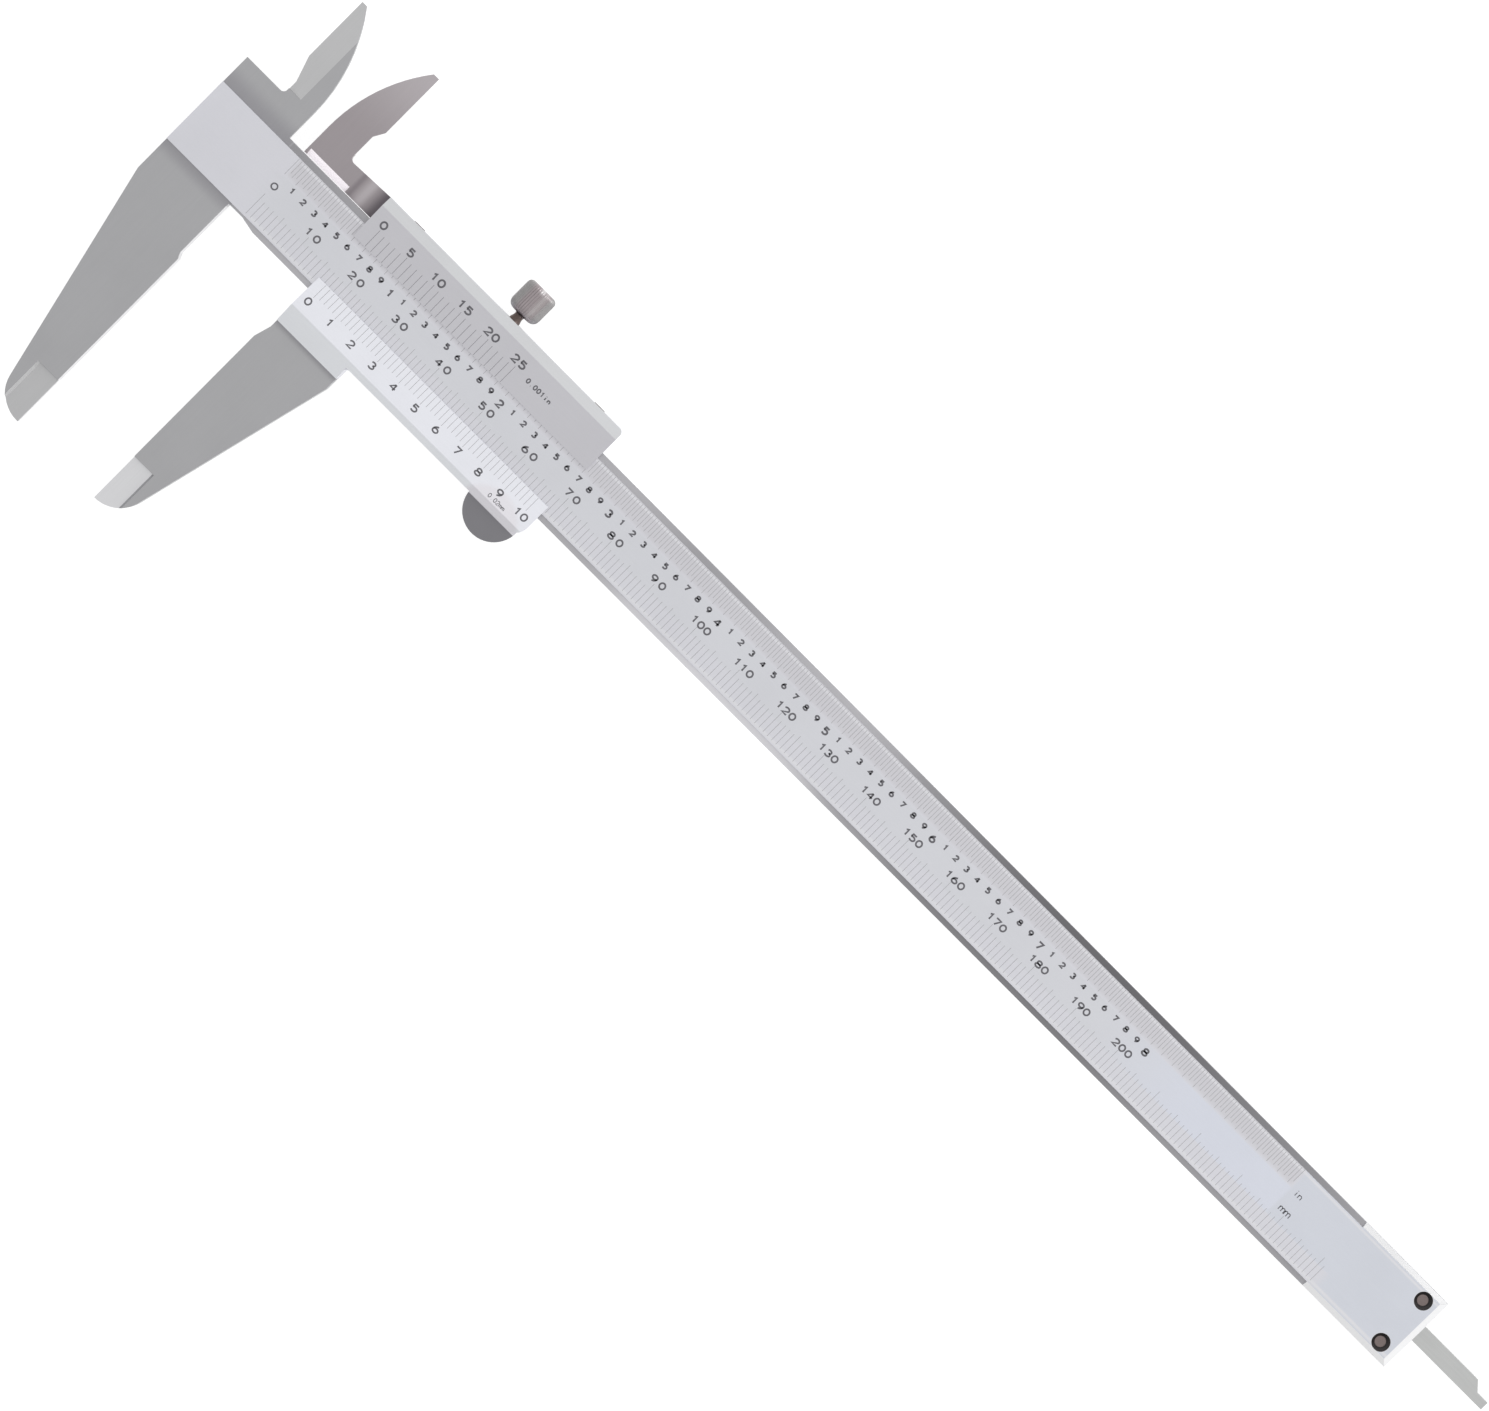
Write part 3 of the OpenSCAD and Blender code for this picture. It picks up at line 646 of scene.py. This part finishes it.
beam_finish = beam_material()
slider_finish = slider_material()
plate_finish = brushed_material("plate_finish", srgb(200, 200, 203), 0.36)
depth_finish = brushed_material("depth_bar_finish", srgb(200, 201, 200), 0.38)
screw_finish = turned_material("screw_finish", srgb(128, 122, 121), 0.4)
bronze_finish = brushed_material("bronze_finish", srgb(190, 150, 96), 0.34)
brass_finish = turned_material("brass_finish", srgb(206, 170, 104), 0.34)
clamp_finish = clamp_material()
stop_screw_finish = turned_material("stop_screw_finish", srgb(132, 120, 118), 0.42)
scale_ink = ink_material("scale_ink", srgb(165, 165, 168))
vernier_ink = ink_material("vernier_ink", srgb(128, 127, 132))
number_ink = ink_material("number_ink", srgb(98, 97, 102))

# ---------- carried-over CAD nodes ----------

FINISHES = {
    "main_beam": beam_finish,
    "slider_frame": slider_finish,
    "back_plate": plate_finish,
    "stop_plate": plate_finish,
    "depth_bar": depth_finish,
    "depth_bar_rivet_1": depth_finish,
    "depth_bar_rivet_2": depth_finish,
    "gib_strip": bronze_finish,
    "clamp_pad": brass_finish,
    "clamp_screw": clamp_finish,
    "stop_screw_upper": stop_screw_finish,
    "stop_screw_lower": stop_screw_finish,
}
EDGE_BREAK = 0.08 * MM
WELD = 0.012 * MM                        # joins the short edges where arcs leave straight sides
FLAT_ANGLE = math.radians(0.5)
EDGE_ANGLE = math.radians(11)


def dress(name, node):
    """A finish and softly broken edges for a CAD node."""
    node.data.materials.clear()
    node.data.materials.append(FINISHES.get(name, screw_finish))
    if "custom_normal" in node.data.attributes:
        node.data.attributes.remove(node.data.attributes["custom_normal"])
    weld = node.modifiers.new("weld", "WELD")
    weld.merge_threshold = WELD
    flat = node.modifiers.new("flat", "DECIMATE")
    flat.decimate_type = "DISSOLVE"
    flat.angle_limit = FLAT_ANGLE
    edges = node.modifiers.new("edges", "BEVEL")
    edges.width = EDGE_BREAK
    edges.segments = 1
    edges.limit_method = "ANGLE"
    edges.angle_limit = EDGE_ANGLE
    edges.harden_normals = True
    edges.use_clamp_overlap = True
    node.data.polygons.foreach_set("use_smooth", [True] * len(node.data.polygons))


for node_name, node_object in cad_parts.items():
    dress(node_name, node_object)

# ---------- scales of the beam ----------

INCH = 25.4 * MM
LINE = 0.08 * MM                         # width of a graduation line
METRIC_COUNT, INCH_COUNT = 252, 374      # lines from 0 to 251 mm and to 373 fortieths of an inch
METRIC_LINES_Y = BEAM_LOW + 1.5 * MM     # outer ends of the metric lines
INCH_LINES_Y = BEAM_HIGH - 1.2 * MM
METRIC_LENGTHS = (3.4 * MM, 3.9 * MM, 4.5 * MM)
INCH_LENGTHS = (2.7 * MM, 3.1 * MM, 3.5 * MM)
METRIC_ROW = BEAM_LOW + 6.7 * MM         # middles of the rows of numbers
METRIC_ZERO_ROW = BEAM_LOW + 7.9 * MM
INCH_ROW = BEAM_LOW + 8.95 * MM
TENTHS_ROW = BEAM_LOW + 9.4 * MM
METRIC_ZERO = Letters(1.05 * MM, 0, 0.26 * MM, 1.6)
METRIC_TENS = Letters(1.1 * MM, 1.85 * MM, 0.3 * MM, 1.45)
METRIC_HUNDREDS = Letters(1.1 * MM, 1.45 * MM, 0.3 * MM, 1.45)
INCH_DIGIT = Letters(1.15 * MM, 0, 0.34 * MM, 1.3)
TENTHS_DIGIT = Letters(0.85 * MM, 0, 0.3 * MM, 1.3)
METRIC_UNIT = Letters(1.25 * MM, 1.25 * MM, 0.18 * MM, 1.3)
INCH_UNIT = Letters(1.1 * MM, 0.9 * MM, 0.16 * MM, 1.1)


def tick(index, fives, tens, lengths):
    """Length of a graduation line: every tens-th is longest and every fives-th is next."""
    if index % tens == 0:
        return lengths[2]
    return lengths[1] if index % fives == 0 else lengths[0]


def beam_ink():
    return Ink(BEAM_LOW, BEAM_Z)


def build_beam_scales():
    metric = beam_ink()
    for i in range(METRIC_COUNT):
        metric.bar(ZERO + i * MM, METRIC_LINES_Y, METRIC_LINES_Y + tick(i, 5, 10, METRIC_LENGTHS), LINE)
    metric.build("metric_scale", scale_ink, "beam", "satin_chrome")

    inch = beam_ink()
    for i in range(INCH_COUNT):
        inch.bar(ZERO + i * INCH / 40, INCH_LINES_Y, INCH_LINES_Y - tick(i, 2, 4, INCH_LENGTHS), LINE)
    inch.build("inch_scale", scale_ink, "beam", "satin_chrome")

    numbers = beam_ink()
    beside = 0.25 * MM                   # the numbers stand a little past their lines
    numbers.text("0", ZERO + beside, METRIC_ZERO_ROW, METRIC_ZERO)
    for i in range(1, 21):
        letters = METRIC_TENS if i < 10 else METRIC_HUNDREDS
        numbers.text(str(10 * i), ZERO + 10 * i * MM + beside, METRIC_ROW, letters)
    numbers.build("metric_numbers", number_ink, "beam", "satin_chrome")

    inch_numbers = beam_ink()
    beside = 0.3 * MM
    for i in range(1, 81):
        x = ZERO + i * INCH / 10 + beside
        if i % 10:
            inch_numbers.text(str(i % 10), x, TENTHS_ROW, TENTHS_DIGIT)
        else:
            inch_numbers.text(str(i // 10), x, INCH_ROW, INCH_DIGIT)
    inch_numbers.build("inch_numbers", number_ink, "beam", "satin_chrome")

    units = beam_ink()
    units.text("mm", ZERO + 239.6 * MM, BEAM_LOW + 6.8 * MM, METRIC_UNIT)
    units.text("in", ZERO + 239.2 * MM, BEAM_LOW + 10.3 * MM, INCH_UNIT)
    units.build("beam_unit_marks", number_ink, "beam", "satin_chrome")


# ---------- verniers of the slider ----------

VERNIER_ZERO = OPENING + ZERO
LIP_Y = BEAM_LOW + 2.6 * MM              # edge of the lower slope, over the beam
LIP_Z = BEAM_Z + 0.4 * MM
FACE_Z = BEAM_Z + 1.65 * MM
FACE_Y = BEAM_LOW - 3.5 * MM
UPPER_LIP_Y = BEAM_LOW + 11.4 * MM
UPPER_FACE_Y = BEAM_HIGH + 3.1 * MM
LIP_GAP = 0.1 * MM                       # the lines start that far from a lip
FIFTIETH = 0.98 * MM                     # 50 divisions span 49 mm
TWENTYFIFTH = 49 * INCH / 40 / 25        # 25 divisions span 49 fortieths of an inch
VERNIER_LENGTHS = (2.6 * MM, 3 * MM, 3 * MM)
INCH_VERNIER_LENGTHS = (3.4 * MM, 3.7 * MM, 3.7 * MM)
VERNIER_DIGIT = Letters(1.15 * MM, 1.5 * MM, 0.28 * MM, 1.4)
INCH_VERNIER_DIGIT = Letters(1.2 * MM, 1.6 * MM, 0.32 * MM, 1.4)
METRIC_READING = Letters(0.7 * MM, 0.62 * MM, 0.12 * MM, 1)
INCH_READING = Letters(0.75 * MM, 0.8 * MM, 0.22 * MM, 1.1)


def lower_ink():
    return Ink(LIP_Y, LIP_Z, (LIP_Z - FACE_Z) / (LIP_Y - FACE_Y))


def upper_ink():
    return Ink(UPPER_LIP_Y, LIP_Z, (FACE_Z - LIP_Z) / (UPPER_FACE_Y - UPPER_LIP_Y))


def build_verniers():
    metric = lower_ink()
    for i in range(51):
        x = VERNIER_ZERO + i * FIFTIETH
        metric.bar(x, LIP_Y - LIP_GAP, LIP_Y - tick(i, 5, 5, VERNIER_LENGTHS), LINE)
    metric.build("metric_vernier", scale_ink, "slider", "satin_chrome")
    numbers = lower_ink()
    for i in range(11):
        x = VERNIER_ZERO + i * 5 * FIFTIETH - 0.15 * MM
        numbers.text(str(i), x, LIP_Y - 4 * MM, VERNIER_DIGIT)
    numbers.text("0.02mm", VERNIER_ZERO + 44.6 * MM, LIP_Y - 5.35 * MM, METRIC_READING)
    numbers.build("metric_vernier_numbers", number_ink, "slider", "satin_chrome")

    inch = upper_ink()
    for i in range(26):
        x = VERNIER_ZERO + i * TWENTYFIFTH
        inch.bar(x, UPPER_LIP_Y + LIP_GAP, UPPER_LIP_Y + tick(i, 5, 5, INCH_VERNIER_LENGTHS), LINE)
    inch.build("inch_vernier", vernier_ink, "slider", "satin_chrome")
    inch_numbers = upper_ink()
    for i in range(0, 26, 5):
        x = VERNIER_ZERO + i * TWENTYFIFTH - 0.1 * MM
        inch_numbers.text(str(i), x, UPPER_LIP_Y + 4.7 * MM, INCH_VERNIER_DIGIT)
    inch_numbers.text("0.001in", VERNIER_ZERO + 36.7 * MM, UPPER_LIP_Y + 3.55 * MM, INCH_READING)
    inch_numbers.build("inch_vernier_numbers", number_ink, "slider", "satin_chrome")


# ---------- clamp screw ----------

KNURL_TEETH = 40
KNURL_CUT = (0.0, 0.09 * MM, 0.18 * MM, 0.09 * MM)    # crest, flank, valley and flank of a tooth
AROUND = len(KNURL_CUT) * KNURL_TEETH    # points on a ring
ROUND_STEPS, SIDE_STEPS = 6, 8           # rings on a rounded edge and on the head's side
LOW_ROUND, HIGH_ROUND = 1.35 * MM, 0.9 * MM
NECK_R = 0.85 * MM
THREAD_R = 1.42 * MM
THREAD_WAVE = 0.12 * MM                  # half the thread's depth
THREAD_PITCH = 0.5 * MM
THREAD_STEPS = 8                         # rings in one turn of the thread


def clamp_rings():
    """Rings of the screw from its end up, as (height, radius, share of knurl, share of thread)."""
    start, top = clamp_low.y, clamp_high.y
    knob_r = (clamp_high.x - clamp_low.x) / 2
    bottom = top - KNOB_H
    thread_end = BEAM_HIGH + 4.4 * MM
    rings = [(start, 0.6 * MM, 0, 0), (start + 0.05 * MM, 1.0 * MM, 0, 0)]
    for i in range(int((thread_end - start) / THREAD_PITCH * THREAD_STEPS)):
        rings.append((start + 0.2 * MM + i * THREAD_PITCH / THREAD_STEPS, THREAD_R - THREAD_WAVE, 0, 1))
    rings += [
        (thread_end + 0.25 * MM, 1.1 * MM, 0, 0),
        (bottom - 1.2 * MM, 1.05 * MM, 0, 0),
        (bottom - 0.6 * MM, NECK_R, 0, 0),
        (bottom - 0.15 * MM, NECK_R, 0, 0),
        (bottom, NECK_R + 0.15 * MM, 0, 0),
    ]
    turns = [math.radians(90 * i / ROUND_STEPS) for i in range(ROUND_STEPS + 1)]
    for i, a in enumerate(turns):
        y, r = bottom + LOW_ROUND * (1 - math.cos(a)), knob_r - LOW_ROUND * (1 - math.sin(a))
        rings.append((y, r, min(1, i / 4), 0))
    side = KNOB_H - LOW_ROUND - HIGH_ROUND
    for i in range(1, SIDE_STEPS):
        rings.append((bottom + LOW_ROUND + side * i / SIDE_STEPS, knob_r, 1, 0))
    for i, a in enumerate(turns):
        y, r = top - HIGH_ROUND * (1 - math.sin(a)), knob_r - HIGH_ROUND * (1 - math.cos(a))
        rings.append((y, r, min(1, (ROUND_STEPS - i) / 4), 0))
    rings += [(top - 0.02 * MM, knob_r - HIGH_ROUND - 0.3 * MM, 0, 0), (top - 0.25 * MM, 0.5 * MM, 0, 0)]
    return rings


def build_clamp_screw():
    """A knurled thumb screw, turned about its axis and ridged along it."""
    vertices, faces = [], []
    rings = clamp_rings()
    for y, r, knurl, thread in rings:
        for k in range(AROUND):
            angle = 2 * math.pi * k / AROUND
            cut = KNURL_CUT[k % len(KNURL_CUT)] * knurl
            wave = THREAD_WAVE * math.cos(2 * math.pi * (y - clamp_low.y) / THREAD_PITCH - angle) * thread
            radius = r - cut + wave
            vertices.append((KNOB_X + radius * math.cos(angle), y, -radius * math.sin(angle)))
    for i in range(len(rings) - 1):
        for k in range(AROUND):
            a, b = i * AROUND + k, i * AROUND + (k + 1) % AROUND
            faces.append((a, b, b + AROUND, a + AROUND))
    faces.append(tuple(reversed(range(AROUND))))
    faces.append(tuple(range(len(vertices) - AROUND, len(vertices))))
    screw = make_object(
        "knurled_clamp_screw", vertices, faces, clamp_finish, "clamp_screw", smooth=True
    )
    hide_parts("clamp_screw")


build_beam_scales()
build_verniers()
build_clamp_screw()

# ---------- floor, light and camera ----------


FLOOR_HALF = 12.0                        # metres, so that its edge never shows
FLOOR_GREY = (0.4, 0.4, 0.4)
FLOOR_GLOW = 0.8
BRIGHT_WAY = (0.45, 0.85, 0.0)
DIM_LEVEL, BRIGHT_LEVEL = 0.6, 1.1
KEY_OFFSET = Vector((0.8, 1.0, 0.7))
KEY_SIZE, KEY_POWER = 0.6, 4
CAMERA_TARGET = Vector((117.51 * MM, 32.64 * MM, 0))
CAMERA_BACK = Vector((-0.0747, 0.0436, 1.0)).normalized()
CAMERA_ROLL = math.radians(135.23)       # the direction along the floor that points up in the render
CAMERA_DISTANCE = 0.6
LENS = 87.3


def build_floor():
    paint = Paint("floor_paint", metallic=0.0)
    cloud = paint.noise((0.4, 0.4, 0.4), detail=2)
    paint.shader.inputs["Emission Color"].default_value = (*WHITE, 1)
    paint.shader.inputs["Emission Strength"].default_value = FLOOR_GLOW
    paint.finish(paint.scale_colour(FLOOR_GREY, paint.spread(cloud, 0.98, 1.0)), 0.9)
    z = cad_low.z
    corners = [(x * FLOOR_HALF, y * FLOOR_HALF, z) for x, y in ((-1, -1), (1, -1), (1, 1), (-1, 1))]
    mesh = bpy.data.meshes.new("floor")
    mesh.from_pydata(corners, [], [(0, 1, 2, 3)])
    mesh.materials.append(paint.material)
    floor = bpy.data.objects.new("floor", mesh)
    bpy.context.scene.collection.objects.link(floor)


def build_world():
    """A pale dome, brighter on the camera's right."""
    world = bpy.data.worlds.new("studio")
    bpy.context.scene.world = world
    world.use_nodes = True
    tree = world.node_tree
    back = tree.nodes["Background"]
    coordinates = tree.nodes.new("ShaderNodeTexCoord")
    toward = tree.nodes.new("ShaderNodeVectorMath")
    toward.operation = "DOT_PRODUCT"
    tree.links.new(coordinates.outputs["Generated"], toward.inputs[0])
    toward.inputs[1].default_value = BRIGHT_WAY
    level = tree.nodes.new("ShaderNodeMapRange")
    level.inputs["From Min"].default_value = -1.0
    level.inputs["From Max"].default_value = 1.0
    level.inputs["To Min"].default_value = DIM_LEVEL
    level.inputs["To Max"].default_value = BRIGHT_LEVEL
    tree.links.new(toward.outputs["Value"], level.inputs["Value"])
    tree.links.new(level.outputs[0], back.inputs["Strength"])
    back.inputs["Color"].default_value = (*WHITE, 1)


def build_key_light():
    """A round lamp beside the object, aimed at its middle."""
    target = (cad_low + cad_high) / 2
    data = bpy.data.lights.new("key", "AREA")
    data.shape = "DISK"
    data.size = KEY_SIZE
    data.energy = KEY_POWER
    light = bpy.data.objects.new("key", data)
    light.location = target + KEY_OFFSET
    light.rotation_mode = "QUATERNION"
    light.rotation_quaternion = (-KEY_OFFSET).to_track_quat("-Z", "Y")
    bpy.context.scene.collection.objects.link(light)


def build_camera():
    """The camera looks almost straight down on the graduated face, with the head at the upper left."""
    hint = Vector((math.cos(CAMERA_ROLL), math.sin(CAMERA_ROLL), 0))
    right = hint.cross(CAMERA_BACK).normalized()
    up = CAMERA_BACK.cross(right)
    data = bpy.data.cameras.new("camera")
    data.sensor_width = 36
    data.lens = LENS
    data.clip_start = 0.01
    data.clip_end = 20
    camera = bpy.data.objects.new("camera", data)
    place = Matrix.Translation(CAMERA_TARGET + CAMERA_DISTANCE * CAMERA_BACK)
    camera.matrix_world = place @ Matrix((right, up, CAMERA_BACK)).transposed().to_4x4()
    bpy.context.scene.collection.objects.link(camera)
    bpy.context.scene.camera = camera


build_floor()
build_world()
build_key_light()
build_camera()
bpy.context.scene.view_settings.view_transform = "Standard"
